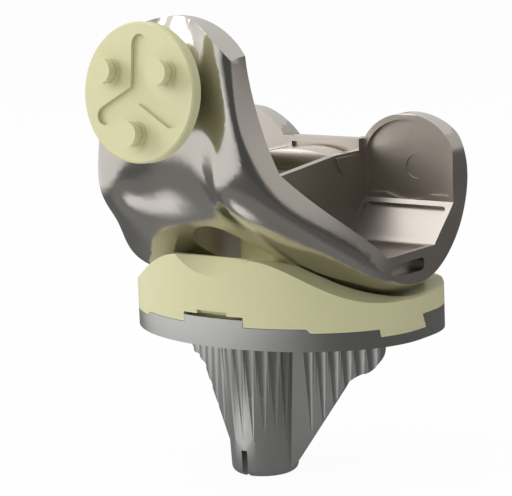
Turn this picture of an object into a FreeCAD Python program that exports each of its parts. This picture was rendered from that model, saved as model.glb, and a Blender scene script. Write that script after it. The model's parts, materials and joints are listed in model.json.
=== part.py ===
import FreeCAD, Part

import math
import os

import Sketcher

from FreeCAD import Placement, Rotation, Vector

# Total knee replacement with a post and cam, standing in full extension.
# Frame: the origin is on the keel's axis at the underside of the tibial tray.
# +Z is up the leg, -Y is the front of the knee and +X is one side of it. Millimetres and degrees.
# Angles round the knee axis are counted from straight down, positive towards the front.

SIZES = [
    # Knee axis and the sliding gaps
    ("knee_axis_y", "11.5", "flexion axis behind the keel axis"),
    ("knee_axis_z", "35.0", "flexion axis above the tray underside"),
    ("condyle_gap", "0.3", "between the condyles and the dishes"),
    ("patella_gap", "0.3", "between the patella dome and the groove"),
    ("insert_seam", "0.1", "between the insert and the tray rim"),
    # Outer surface of the femoral component
    ("condyle_radius", "26.0", "radius of the condyles about the knee axis"),
    ("valley_depth", "3.7", "valley between the condyles"),
    ("valley_fullness", "0.28", "rise of the valley half way to the crest, as a share"),
    ("edge_drop_rear", "4.4", "fall from the rear condyle's crest to its side edge"),
    ("edge_drop_low", "2.8", "the same under the knee"),
    ("edge_drop_slope", "6.6", "the same at the bend from the slope into the flange"),
    ("edge_drop_front", "2.2", "the same on the flange"),
    ("slope_angle", "86.0", "angle of the bend from the slope into the flange"),
    ("flange_angle", "110.0", "angle where the flange has its full section"),
    ("crest_share", "0.6", "condyle crest as a share of the half width"),
    ("flange_crest_share", "0.8", "flange crest as a share of the half width"),
    ("tip_thinning", "4.0", "loss of condyle radius at the tips"),
    ("thinning_start", "70.0", "angle behind the axis where the thinning starts"),
    ("thinning_end", "135.0", "angle behind the axis where it ends"),
    ("femur_half_width", "34.3", "half width over the condyles"),
    ("flange_half_width", "15.0", "half width of the flange"),
    ("narrowing_start", "30.0", "angle where the outline starts to narrow"),
    ("narrowing_end", "140.0", "angle where the outline has narrowed"),
    ("chamfer_angle", "36.5", "slope of the crest between condyle and flange"),
    ("chamfer_run", "24.5", "straight length of that slope"),
    ("flange_bend", "17.5", "crest radius from the slope into the flange"),
    ("flange_lean", "4.5", "backward lean of the flange"),
    ("flange_top", "71.5", "top of the flange"),
    ("flange_spare", "0.4", "rounded top's half width beyond the flange's"),
    ("flange_round", "14.5", "height of the flange's rounded top"),
    ("groove_radius", "35.3", "patellar groove seen from the side"),
    ("groove_rest_y", "28.0", "groove floor in front of the keel axis at rest"),
    ("groove_rest_z", "55.9", "groove floor height at rest"),
    ("groove_tilt", "6.3", "upward tilt of the groove floor's normal at rest"),
    ("groove_end_tilt", "9.0", "tilt where the groove floor turns straight"),
    # Bone cuts inside the femoral component
    ("distal_cut_z", "19.0", "distal bone cut"),
    ("posterior_cut_y", "26.5", "posterior bone cut"),
    ("posterior_chamfer", "8.1", "depth of the posterior chamfer cut"),
    ("anterior_chamfer_y", "0.0", "front end of the distal cut"),
    ("anterior_chamfer", "19.8", "depth of the anterior chamfer cut"),
    ("anterior_cut_lean", "5.0", "forward lean of the anterior bone cut"),
    ("halves_y", "6.0", "plane behind the keel axis that parts flange and condyles"),
    ("tip_centre_x", "22.4", "middle of a posterior condyle"),
    ("tip_centre_z", "36.0", "height where the tips start to round"),
    ("tip_half_width", "12.3", "half width of a posterior condyle"),
    ("tip_rise", "10.2", "height of the rounded tip"),
    ("pocket_depth", "0.9", "cement pockets in the bone cuts"),
    ("pocket_border", "1.3", "border left round a cement pocket"),
    ("pocket_corner", "1.0", "rounding of the pockets' corners"),
    ("wall_border", "0.9", "border between a pocket and the box wall"),
    ("mark_x", "24.2", "round mark in the posterior pockets, from the middle"),
    ("mark_z", "34.4", "height of that mark"),
    ("mark_radius", "2.6", "radius of that mark"),
    ("mark_depth", "0.25", "depth of that mark"),
    ("grip_length", "12.8", "holder slot in each side edge"),
    ("grip_height", "2.8", "height of the holder slot"),
    ("grip_depth", "2.4", "depth of the holder slot"),
    ("grip_round", "1.0", "rounding of the slot's ends"),
    ("grip_y", "7.6", "middle of the holder slot"),
    ("grip_z", "15.7", "height of the holder slot"),
    # Box and cam
    ("notch_half_width", "9.0", "half width inside the box"),
    ("notch_front_y", "17.0", "front tip of the notch"),
    ("box_wall", "1.8", "thickness of the box walls"),
    ("box_front_top", "34.6", "top of the box walls at the front"),
    ("box_rear_top", "37.7", "top of the box walls at the cam"),
    ("box_root", "3.0", "depth of the walls' root in the metal"),
    ("cam_y", "19.8", "cam axis behind the keel axis"),
    ("cam_z", "37.2", "cam axis height"),
    ("cam_radius", "4.2", "radius of the cam"),
    ("cam_proud", "0.4", "cam ends beyond the box walls"),
    ("cam_underside", "30.0", "slope of the bar's underside"),
    ("crown_top", "38.6", "top of the cam in the middle"),
    ("crown_radius", "40.0", "crown of the cam's top across the box"),
    ("bar_depth", "2.6", "thickness of the bar behind the cam"),
    ("bar_root", "1.0", "root of the bar in the posterior cut"),
    ("bar_top", "40.3", "top of the bar"),
    ("bar_recess", "0.9", "recess in the bar's front face"),
    ("bar_border", "1.3", "border round that recess"),
    # Tibial tray
    ("tray_half_width", "36.0", "half width of the tray"),
    ("tray_centre_y", "9.0", "widest line behind the keel axis"),
    ("tray_front", "26.4", "outline depth in front of the widest line"),
    ("tray_rear", "23.9", "outline depth behind the widest line"),
    ("rear_fullness", "3.1", "squareness of the rear outline"),
    ("rear_notch", "3.0", "depth of the notch in the rear outline"),
    ("rear_notch_width", "9.0", "half width of that notch"),
    ("plate_thickness", "2.3", "plate under the insert"),
    ("rim_width", "2.6", "width of the rim"),
    ("rim_front", "4.75", "top of the front rim"),
    ("rim_side", "3.85", "top of the rim beside the front"),
    ("rim_rear", "5.3", "top of the rear rim"),
    ("rim_catch", "6.35", "top of the raised middle of the rim"),
    ("catch_half_width", "7.9", "half width of the raised middle"),
    ("rim_step_y", "12.3", "front rim step, in front of the keel axis"),
    ("rim_opening_y", "1.8", "front end of the side openings"),
    ("rim_dovetail_y", "11.6", "rear end of the side openings"),
    ("dovetail_set", "1.2", "undercut at the rear end"),
    ("rim_slope", "0.4", "run of the rim's steps"),
    # Keel
    ("keel_length", "31.4", "keel below the plate"),
    ("stem_top_radius", "8.8", "stem radius under the plate"),
    ("stem_end_radius", "7.4", "stem radius at its end"),
    ("stem_round", "1.6", "rounding of the stem's end"),
    ("wing_sweep", "22.5", "backward sweep of the wings"),
    ("wing_thickness", "6.8", "thickness of the wings"),
    ("wing_reach", "27.4", "wing tip from the keel axis"),
    ("lobe_height", "3.2", "straight height of the wing tip"),
    ("lobe_low_reach", "23.9", "low end of the tip's curve from the axis"),
    ("lobe_low_depth", "8.4", "low end of the tip's curve below the plate"),
    ("lobe_bulge", "1.2", "bulge of the tip's curve"),
    ("waist_reach", "18.4", "start of the wing's slope from the axis"),
    ("waist_depth", "12.9", "start of the wing's slope below the plate"),
    ("waist_hollow", "0.8", "hollow of the curve between tip and slope"),
    ("slope_end_reach", "7.2", "low end of the wing's slope from the axis"),
    ("flute_pitch", "2.85", "spacing of the flutes"),
    ("flute_land", "0.11", "land left between two flutes"),
    ("flute_depth", "0.6", "depth of the flutes under the plate"),
    ("flute_start", "2.2", "plain root of the keel above the flutes"),
    ("flute_length", "24.0", "flutes fade out this far below the plate"),
    ("first_flute", "11.6", "first wing flute from the keel axis"),
    ("socket_radius", "4.5", "socket for a stem extension"),
    ("socket_depth", "18.0", "depth of the socket"),
    ("key_width", "1.5", "key slot in the stem's end"),
    ("key_height", "6.0", "height of the key slot"),
    # Tibial insert
    ("insert_front_top", "19.4", "top of the insert's front wall"),
    ("insert_edge_top", "9.3", "top of the insert at its sides"),
    ("insert_rear_top", "10.3", "top of the insert's rear lip"),
    ("front_flat", "9.0", "half width of the flat front top"),
    ("front_wall_end", "16.4", "rear end of the front wall, before the axis"),
    ("rear_lip_start", "10.0", "front end of the rear lip"),
    ("dish_crest_gap", "0.35", "dish under the condyle crest"),
    ("dish_relief", "0.15", "more room on the flank of the dish's ridge"),
    ("dish_side_radius", "25.4", "dish radius at the insert's side"),
    ("scoop_radius", "26.0", "tendon scoop"),
    ("scoop_low_z", "15.5", "lowest point of the scoop"),
    ("post_half_width", "5.2", "half width of the post"),
    ("post_front_y", "0.4", "front of the post, before the axis"),
    ("post_rear_y", "5.4", "rear face of the post"),
    ("post_root", "3.0", "root of the post in the insert"),
    ("post_top", "33.0", "top of the post"),
    ("post_slope_z", "20.0", "where the post's front starts to slope"),
    ("post_crown", "4.2", "length of the post's top"),
    ("post_round", "1.8", "rounding of the post's edges"),
    ("catch_gap_z", "7.0", "top of the gap over the rim's middle"),
    ("window_half_width", "4.0", "half width of the window in that gap"),
    ("window_z", "7.8", "top of that window"),
    ("window_depth", "1.3", "depth of that window"),
    # Patella button
    ("patella_radius", "14.4", "radius of the button"),
    ("patella_thickness", "10.0", "button over its dome"),
    ("patella_rim", "2.4", "height of the button's rim"),
    ("patella_bevel", "0.35", "bevel of the rim"),
    ("peg_circle", "8.4", "peg centres from the middle"),
    ("peg_radius", "2.6", "radius of the pegs"),
    ("peg_length", "3.6", "length of the pegs"),
    ("peg_root", "0.4", "root of the pegs in the button"),
    ("peg_neck", "0.45", "depth of the cement groove in the pegs"),
    ("peg_neck_start", "0.9", "groove above the bone face"),
    ("peg_neck_end", "2.0", "end of the groove"),
    ("arm_length", "11.9", "end of a recess arm from the middle"),
    ("arm_width", "3.9", "width of a recess arm"),
    ("arm_depth", "0.9", "depth of the recess"),
]

doc = FreeCAD.newDocument("knee_prosthesis")
sheet = doc.addObject("Spreadsheet::Sheet", "Sizes")
for row, (alias, value, note) in enumerate(SIZES, start=1):
    sheet.set(f"A{row}", note)
    sheet.set(f"B{row}", value)
    sheet.setAlias(f"B{row}", alias)
doc.recompute()


def size(alias):
    return float(sheet.get(alias))


def sine(angle):
    return math.sin(math.radians(angle))


def cosine(angle):
    return math.cos(math.radians(angle))


def blend(start, end, share):
    """Smooth change from start to end while share goes from 0 to 1."""
    share = min(max(share, 0.0), 1.0)
    return start + (end - start) * 0.5 * (1.0 - math.cos(math.pi * share))


# Construction lengths: a span longer than any piece, how far a cutter passes what it cuts, and
# how far two joined solids overlap
REACH = 60.0
PAST = 1.0
BITE = 0.5


def knee_point(angle, radius, across=0.0):
    """Point at an angle round the knee axis."""
    y = size("knee_axis_y") - radius * sine(angle)
    z = size("knee_axis_z") - radius * cosine(angle)
    return Vector(across, y, z)


def side_prism(points, half_width):
    """Prism across the knee from a side view given as (y, z) pairs."""
    wire = Part.makePolygon([Vector(-half_width, y, z) for y, z in points + points[:1]])
    return Part.Face(wire).extrude(Vector(2 * half_width, 0, 0))


def box(x_low, x_high, y_low, y_high, z_low, z_high):
    corner = Vector(x_low, y_low, z_low)
    return Part.makeBox(x_high - x_low, y_high - y_low, z_high - z_low, corner)


def curve(points):
    spline = Part.BSplineCurve()
    spline.interpolate(points)
    return spline.toShape()


def mirrored(shape):
    return shape.mirror(Vector(0, 0, 0), Vector(1, 0, 0))


def rear_outline(across, half_width, depth):
    share = min(abs(across) / half_width, 1.0)
    fullness = size("rear_fullness")
    arc = depth * (1.0 - share ** fullness) ** (1.0 / fullness)
    notch = size("rear_notch") * math.exp(-(across / size("rear_notch_width")) ** 2)
    return size("tray_centre_y") + arc - notch


def outline_wire(inset, z):
    """Kidney outline of the tray and the insert, moved inwards by inset."""
    half_width = size("tray_half_width") - inset
    front = size("tray_front") - inset
    rear = size("tray_rear") - inset
    centre = Vector(0, size("tray_centre_y"), z)
    major, minor = max(half_width, front), min(half_width, front)
    ellipse = Part.Ellipse(centre, major, minor)
    front_edge = Part.Arc(ellipse, math.pi, 2 * math.pi).toShape()
    points = []
    for step in range(13):
        turn = math.pi * step / 12
        across = half_width * math.cos(turn)
        points.append(Vector(across, rear_outline(across, half_width, rear), z))
    points[0] = Vector(half_width, centre.y, z)
    points[-1] = Vector(-half_width, centre.y, z)
    spline = Part.BSplineCurve()
    spline.interpolate(Points=points, InitialTangent=Vector(0, 1, 0), FinalTangent=Vector(0, -1, 0))
    return Part.Wire([front_edge, spline.toShape()])


def outline_prism(inset, z_low, z_high):
    return Part.Face(outline_wire(inset, z_low)).extrude(Vector(0, 0, z_high - z_low))


def crest_radius(angle):
    """Crest of the condyle, slope and flange, from the knee axis."""
    radius = size("condyle_radius")
    slope = size("chamfer_angle")
    if angle <= slope:
        start, end = size("thinning_start"), size("thinning_end")
        return radius - blend(0.0, size("tip_thinning"), (-angle - start) / (end - start))
    run, bend, lean = size("chamfer_run"), size("flange_bend"), size("flange_lean")
    slope_end = math.degrees(math.atan2(run, radius))
    if angle <= slope + slope_end:
        return radius / cosine(angle - slope)
    # Centre of the bend, from the knee axis, as (forward, down) parts
    forward = (radius - bend) * sine(slope) + run * cosine(slope)
    down = (radius - bend) * cosine(slope) - run * sine(slope)
    along = forward * sine(angle) + down * cosine(angle)
    aside = forward * cosine(angle) - down * sine(angle)
    on_bend = along + math.sqrt(bend ** 2 - aside ** 2) if abs(aside) < bend else None
    flange_distance = forward * cosine(lean) - down * sine(lean) + bend
    on_flange = flange_distance / (sine(angle) * cosine(lean) - cosine(angle) * sine(lean))
    if on_bend is None:
        return on_flange
    tilt = math.degrees(math.atan2(
        on_bend * -cosine(angle) + down,
        on_bend * sine(angle) - forward,
    ))
    return on_flange if tilt > lean else on_bend


def groove_centre():
    """Axis that the patella turns about, as (y, z)."""
    tilt, radius = size("groove_tilt"), size("groove_radius")
    y = -size("groove_rest_y") + radius * cosine(tilt)
    z = size("groove_rest_z") - radius * sine(tilt)
    return y, z


def groove_floor_radius(angle):
    """Floor of the patellar groove, from the knee axis."""
    valley = size("condyle_radius") - size("valley_depth")
    if angle <= 0:
        return crest_radius(angle) - size("valley_depth")
    centre_y, centre_z = groove_centre()
    forward = size("knee_axis_y") - centre_y
    down = size("knee_axis_z") - centre_z
    radius, end_tilt = size("groove_radius"), size("groove_end_tilt")
    along = forward * sine(angle) + down * cosine(angle)
    aside = forward * cosine(angle) - down * sine(angle)
    on_arc = along + math.sqrt(radius ** 2 - aside ** 2)
    y, z = knee_point(angle, on_arc).y, knee_point(angle, on_arc).z
    tilt = math.degrees(math.atan2(z - centre_z, centre_y - y))
    if tilt > end_tilt:
        distance = forward * cosine(end_tilt) - down * sine(end_tilt) + radius
        return distance / (sine(angle) * cosine(end_tilt) - cosine(angle) * sine(end_tilt))
    return max(on_arc, valley)


def half_width(angle):
    """Half width of the femoral component."""
    start, end = size("narrowing_start"), size("narrowing_end")
    share = (angle - start) / (end - start)
    return blend(size("femur_half_width"), size("flange_half_width"), share)


def edge_drop(angle):
    """Fall from the crest to the side edge."""
    low, slope, middle = size("edge_drop_low"), size("edge_drop_slope"), size("slope_angle")
    if angle <= 0:
        return blend(low, size("edge_drop_rear"), -angle / size("thinning_start"))
    if angle <= middle:
        start = size("narrowing_start")
        return blend(low, slope, (angle - start) / (middle - start))
    share = (angle - middle) / (size("flange_angle") - middle)
    return blend(slope, size("edge_drop_front"), share)


def crest_place(angle):
    """Distance of the crest from the middle."""
    share = (angle - size("slope_angle")) / (size("flange_angle") - size("slope_angle"))
    return blend(size("crest_share"), size("flange_crest_share"), share) * half_width(angle)


SECTION_ANGLES = [-126, -105, -84, -63, -42, -21, 0, 20, 36, 50, 62, 73, 84, 95, 106, 118, 130, 142]


def femoral_section(angle, gap, root):
    """Section of the outer surface in a plane through the knee axis."""
    crest = crest_radius(angle) + gap
    floor = groove_floor_radius(angle) + gap
    side, crest_x, drop = half_width(angle), crest_place(angle), edge_drop(angle)
    profile = [(0.0, floor), (0.5 * crest_x, floor + size("valley_fullness") * (crest - floor))]
    for turn in (0.0, 32.0, 62.0, 90.0):
        across = crest_x + (side - crest_x) * sine(turn)
        profile.append((across, crest - drop + drop * cosine(turn)))
    left = [(-across, radius) for across, radius in reversed(profile[1:])]
    surface = curve([knee_point(angle, radius, across) for across, radius in left + profile])
    corners = [
        knee_point(angle, crest - drop, side),
        knee_point(angle, root, side),
        knee_point(angle, root, -side),
        knee_point(angle, crest - drop, -side),
    ]
    edges = [Part.makeLine(corners[i], corners[i + 1]) for i in range(3)]
    return Part.Wire([surface] + edges)


def femoral_envelope(gap=0.0, root=6.0):
    """Solid between the knee axis and the outer surface, from the tips to the flange."""
    sections = [femoral_section(angle, gap, root) for angle in SECTION_ANGLES]
    return Part.makeLoft(sections, True, False)


def anterior_cut_y(z):
    """Front bone cut of the flange at a height."""
    start_z = size("distal_cut_z") + size("anterior_chamfer")
    start_y = size("anterior_chamfer_y") - size("anterior_chamfer")
    return start_y - (z - start_z) * sine(size("anterior_cut_lean")) / cosine(size("anterior_cut_lean"))


def bone_profile(sink=0.0):
    """Side view of the resected bone, deepened by sink into the metal."""
    distal = size("distal_cut_z") - sink
    front = size("anterior_chamfer_y")
    depth = size("anterior_chamfer")
    rear = size("posterior_cut_y") + sink
    chamfer = size("posterior_chamfer")
    spread = sink * (math.sqrt(2.0) - 1.0)
    top = size("flange_top") + REACH
    return [
        (front - spread, distal),
        (rear - chamfer + spread - sink, distal),
        (rear, size("distal_cut_z") + chamfer - spread),
        (rear, top),
        (anterior_cut_y(top) - sink, top),
        (front - depth - sink, size("distal_cut_z") + depth - spread),
    ]


def front_trim():
    """Everything of the front half that lies under the flange's rounded top."""
    shoulder = size("flange_top") - size("flange_round")
    forward = size("knee_axis_y") + size("groove_rest_y")
    turn = math.degrees(math.atan2(shoulder - size("knee_axis_z"), forward))
    side = half_width(90.0 + turn) + size("flange_spare")
    middle = size("halves_y")
    slab = box(-REACH, REACH, -REACH, middle, -REACH, shoulder)
    top = Part.Ellipse(Vector(0, 0, 0), side, size("flange_round"))
    dome = Part.Face(Part.Wire(top.toShape())).extrude(Vector(0, 0, REACH + middle))
    dome.Placement = Placement(Vector(0, middle, shoulder), Rotation(Vector(1, 0, 0), 90))
    return slab.fuse(dome)


def rear_trim():
    """Everything of the rear half that lies under the rounded condyle tips."""
    shoulder, middle = size("tip_centre_z"), size("halves_y")
    slab = box(-REACH, REACH, middle, REACH, -REACH, shoulder)
    tips = []
    for side in (-1, 1):
        oval = Part.Ellipse(Vector(0, 0, 0), size("tip_half_width"), size("tip_rise"))
        tip = Part.Face(Part.Wire(oval.toShape())).extrude(Vector(0, 0, REACH - middle))
        centre = Vector(side * size("tip_centre_x"), REACH, shoulder)
        tip.Placement = Placement(centre, Rotation(Vector(1, 0, 0), 90))
        tips.append(tip)
    return slab.multiFuse(tips)


def notch_plan(widening, z_low, z_high):
    """Upright slot with a round front end."""
    radius = size("notch_half_width") + widening
    centre_y = size("notch_half_width") - size("notch_front_y")
    slot = box(-radius, radius, centre_y, REACH, z_low, z_high)
    nose = Part.makeCylinder(radius, z_high - z_low, Vector(0, centre_y, z_low))
    return slot.fuse(nose)


def box_walls():
    """Walls of the box with their sloping top, before the notch is cut."""
    profile = bone_profile(size("box_root"))
    rear = size("posterior_cut_y")
    bar_front = rear + size("bar_root") - size("bar_depth")
    front = -size("notch_front_y") - size("box_wall") - PAST
    outline = [profile[0], profile[1], profile[2]]
    outline += [
        (profile[2][0], size("bar_top")),
        (bar_front, size("bar_top")),
        (bar_front, size("box_rear_top")),
        (size("cam_y") - size("cam_radius"), size("box_rear_top")),
        (front, size("box_front_top")),
    ]
    walls = side_prism(outline, size("notch_half_width") + size("box_wall"))
    return walls.common(notch_plan(size("box_wall"), 0.0, size("flange_top")))


def cam_bar():
    """Cam with a crowned top, and the bar behind it, across the box."""
    radius, y, z = size("cam_radius"), size("cam_y"), size("cam_z")
    slope = size("cam_underside")
    half = size("notch_half_width") + size("box_wall")
    reach = half + size("cam_proud")
    rear = size("posterior_cut_y") + size("bar_root")
    front = rear - size("bar_depth")
    low_y, low_z = y + radius * sine(slope), z - radius * cosine(slope)
    rear_z = low_z + (rear - low_y) * sine(slope) / cosine(slope)
    crown = size("crown_top")
    cam = Part.makeCylinder(radius, 2 * reach, Vector(-reach, y, z), Vector(1, 0, 0))
    web = side_prism([(y, z), (low_y, low_z), (rear, rear_z), (rear, crown), (y, crown)], half - BITE)
    crown_radius = size("crown_radius")
    crown_base = Vector(0, y - REACH, crown - crown_radius)
    crown_shape = Part.makeCylinder(crown_radius, 2 * REACH, crown_base, Vector(0, 1, 0))
    cam = cam.fuse(web).common(crown_shape)
    bar = box(BITE - half, half - BITE, front, rear, z, size("bar_top"))
    border = size("bar_border")
    inner = size("notch_half_width") - border
    recess = box(-inner, inner, front - PAST, front + size("bar_recess"),
                 z, size("bar_top") - border)
    return bar.cut(recess).fuse(cam)


def cut_pocket(points, normal, depth):
    """Prism with rounded corners, sunk along minus the face's normal."""
    wire = Part.makePolygon(points + points[:1])
    prism = Part.Face(wire).extrude(normal * (-2.0 * depth))
    prism.translate(normal * depth)
    upright = [edge for edge in prism.Edges if is_along(edge, normal)]
    return prism.makeFillet(size("pocket_corner"), upright)


def is_along(edge, direction):
    start, end = edge.Vertexes[0].Point, edge.Vertexes[-1].Point
    span = end - start
    return span.Length > 0 and abs(span.normalize().dot(direction)) > 0.999


def posterior_pocket(side):
    """Pocket of one posterior bone cut, following the rounded tip."""
    border, depth = size("pocket_border"), size("pocket_depth")
    wall = size("notch_half_width") + size("box_wall")
    y = size("posterior_cut_y")
    oval = Part.Ellipse(Vector(0, 0, 0), size("tip_half_width") - border, size("tip_rise") - border)
    tip = Part.Face(Part.Wire(oval.toShape())).extrude(Vector(0, 0, 2 * depth))
    centre = Vector(side * size("tip_centre_x"), y + depth, size("tip_centre_z"))
    tip.Placement = Placement(centre, Rotation(Vector(1, 0, 0), 90))
    low = size("distal_cut_z") + size("posterior_chamfer") + border
    inner, outer = wall + size("wall_border"), size("femur_half_width") - border
    x_low, x_high = sorted((side * inner, side * outer))
    slab = box(x_low, x_high, y - depth, y + depth, low, size("tip_centre_z"))
    mark_centre = Vector(side * size("mark_x"), y, size("mark_z"))
    mark = Part.makeCylinder(size("mark_radius"), depth + size("mark_depth"), mark_centre, Vector(0, 1, 0))
    pocket = tip.common(box(x_low, x_high, y - REACH, y + REACH, -REACH, REACH))
    return pocket.fuse(slab).fuse(mark)


def sloped_pocket(side, start, end, inner, outer):
    """Pocket in a bone cut that runs from start to end in the side view."""
    border, depth = size("pocket_border"), size("pocket_depth")
    along = Vector(0, end[0] - start[0], end[1] - start[1])
    length = along.Length
    along.normalize()
    normal = Vector(0, -along.z, along.y)
    near = Vector(0, start[0], start[1]) + along * border
    far = Vector(0, start[0], start[1]) + along * (length - border)
    points = []
    for base, across in ((near, inner), (near, outer), (far, outer), (far, inner)):
        points.append(base + Vector(side * across, 0, 0))
    return cut_pocket(points, normal, depth)


def cement_pockets():
    profile = bone_profile()
    border = size("pocket_border")
    wall = size("notch_half_width") + size("box_wall") + size("wall_border")
    side_edge = size("femur_half_width") - border
    pockets = []
    for side in (-1, 1):
        pockets.append(posterior_pocket(side))
        pockets.append(sloped_pocket(side, profile[1], profile[2], wall, side_edge))
        pockets.append(sloped_pocket(side, profile[0], profile[1], wall, side_edge))
    return pockets


def holder_slots():
    """Slots in the side edges that the insertion tool grips."""
    depth, half_length = size("grip_depth"), 0.5 * size("grip_length")
    half_height = 0.5 * size("grip_height")
    slots = []
    for side in (-1, 1):
        x_low, x_high = sorted((
            side * (size("femur_half_width") - depth),
            side * (size("femur_half_width") + depth),
        ))
        slot = box(x_low, x_high, size("grip_y") - half_length, size("grip_y") + half_length,
                   size("grip_z") - half_height, size("grip_z") + half_height)
        ends = [edge for edge in slot.Edges if is_along(edge, Vector(1, 0, 0))]
        slots.append(slot.makeFillet(size("grip_round"), ends))
    return slots


def make_femoral_component():
    bone = side_prism(bone_profile(), REACH)
    shell = femoral_envelope().cut(bone)
    shell = shell.common(front_trim().fuse(rear_trim()))
    shell = shell.cut(cement_pockets() + holder_slots())
    body = shell.fuse(box_walls())
    body = body.cut(notch_plan(0.0, -REACH, size("bar_top") + PAST))
    return body.fuse(cam_bar()).removeSplitter()


def rim_profile(lift):
    """Side view of the tray rim, raised by lift."""
    plate, slope = size("plate_thickness") - PAST, size("rim_slope")
    step = lift - size("rim_step_y")
    opening = lift - size("rim_opening_y")
    dovetail = size("rim_dovetail_y") - lift
    return [
        (-REACH, plate),
        (-REACH, size("rim_front") + lift),
        (step, size("rim_front") + lift),
        (step + slope, size("rim_side") + lift),
        (opening, size("rim_side") + lift),
        (opening + slope, plate),
        (dovetail + slope, plate),
        (dovetail - size("dovetail_set"), size("rim_rear") + lift),
        (REACH, size("rim_rear") + lift),
        (REACH, plate),
    ]


def rim_ring(outer_inset, inner_inset, z_low, z_high):
    outer = outline_prism(outer_inset, z_low, z_high)
    return outer.cut(outline_prism(inner_inset, z_low - PAST, z_high + PAST))


def catch_block(half_width_now, z_high):
    return box(-half_width_now, half_width_now, -REACH, 0.0, size("plate_thickness") - PAST, z_high)


def dish_tool():
    """Solid swept by the condyles about the knee axis, with their sliding gap."""
    crest = size("condyle_radius") + size("dish_crest_gap")
    valley = size("condyle_radius") - size("valley_depth") + size("dish_crest_gap")
    crest_x = size("crest_share") * size("femur_half_width")
    side = size("tray_half_width") + PAST
    flank = valley + size("valley_fullness") * (crest - valley) + size("dish_relief")
    profile = [
        (0.0, valley),
        (0.5 * crest_x, flank),
        (crest_x, crest),
        (0.5 * (crest_x + side), blend(crest, size("dish_side_radius"), 0.25)),
        (side, size("dish_side_radius")),
    ]
    left = [(-across, radius) for across, radius in reversed(profile[1:])]
    points = [knee_point(0, radius, across) for across, radius in left + profile]
    axis_right = knee_point(0, 0, side)
    axis_left = knee_point(0, 0, -side)
    wire = Part.Wire([
        curve(points),
        Part.makeLine(points[-1], axis_right),
        Part.makeLine(axis_right, axis_left),
        Part.makeLine(axis_left, points[0]),
    ])
    return Part.Face(wire).revolve(knee_point(0, 0), Vector(1, 0, 0), 360)


def insert_top_trim():
    """Front view of the insert's top: high in the middle, low at the sides."""
    side, flat = size("tray_half_width"), size("front_flat")
    low, high = size("insert_edge_top"), size("insert_front_top")
    slope = []
    for step in range(9):
        across = flat + (side - flat) * step / 8
        slope.append(Vector(across, -REACH, blend(high, low, step / 8)))
    left = [Vector(-point.x, point.y, point.z) for point in reversed(slope)]
    outer = side + PAST
    right_low, left_low = Vector(outer, -REACH, 0), Vector(-outer, -REACH, 0)
    right_high, left_high = Vector(outer, -REACH, low), Vector(-outer, -REACH, low)
    wire = Part.Wire([
        curve(left),
        Part.makeLine(left[-1], slope[0]),
        curve(slope),
        Part.makeLine(slope[-1], right_high),
        Part.makeLine(right_high, right_low),
        Part.makeLine(right_low, left_low),
        Part.makeLine(left_low, left_high),
        Part.makeLine(left_high, left[0]),
    ])
    return Part.Face(wire).extrude(Vector(0, 2 * REACH, 0))


def insert_side_trim():
    """Side view of the insert's top: front wall, fall and rear lip."""
    front_end, lip = -size("front_wall_end"), size("rear_lip_start")
    high, low = size("insert_front_top"), size("insert_rear_top")
    fall = []
    for step in range(7):
        fall.append((front_end + (lip - front_end) * step / 6, blend(high, low, step / 6)))
    points = [(-REACH, 0.0), (REACH, 0.0), (REACH, low)] + fall[::-1] + [(-REACH, high)]
    return side_prism(points, REACH)


def tendon_scoop():
    """Slanting round relief for the patellar tendon."""
    direction = Vector(0, 1, 1).normalize()
    lowest = Vector(0, size("tray_centre_y") - size("tray_front"), size("scoop_low_z"))
    lift = Vector(0, -1, 1).normalize() * size("scoop_radius")
    base = lowest + lift - direction * (0.5 * REACH)
    return Part.makeCylinder(size("scoop_radius"), REACH, base, direction)


def insert_post():
    rear, front = size("post_rear_y"), -size("post_front_y")
    top, half = size("post_top"), size("post_half_width")
    foot = size("insert_rear_top") - size("post_root")
    profile = [
        (front, foot),
        (rear, foot),
        (rear, top),
        (rear - size("post_crown"), top),
        (front, size("post_slope_z")),
    ]
    post = side_prism(profile, half)
    upright = [edge for edge in post.Edges if edge.BoundBox.ZMax > size("insert_rear_top")]
    return post.makeFillet(size("post_round"), upright)


def make_tibial_insert():
    seam = size("insert_seam")
    floor = size("plate_thickness")
    block = outline_prism(0.0, floor, size("insert_front_top") + PAST)
    block = block.common(insert_top_trim()).common(insert_side_trim())
    for tool in (dish_tool(), femoral_envelope(size("condyle_gap")), tendon_scoop()):
        block = block.cut(tool)
    rim = rim_ring(-2 * PAST, size("rim_width") + seam, floor - PAST, size("window_z") + PAST)
    rim_space = rim.common(side_prism(rim_profile(seam), REACH))
    catch_space = rim.common(catch_block(size("catch_half_width") + seam, size("catch_gap_z")))
    front = size("tray_centre_y") - size("tray_front")
    window = box(-size("window_half_width"), size("window_half_width"), -REACH,
                 front + size("window_depth"), floor, size("window_z"))
    block = block.cut([rim_space, catch_space, window])
    return block.fuse(insert_post())


def beside_middle(start, end, rise):
    """Point that lies rise outside the middle of a line in a side view."""
    span = end - start
    return (start + end) * 0.5 + Vector(-span.z, 0, span.x).normalize() * rise


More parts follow.
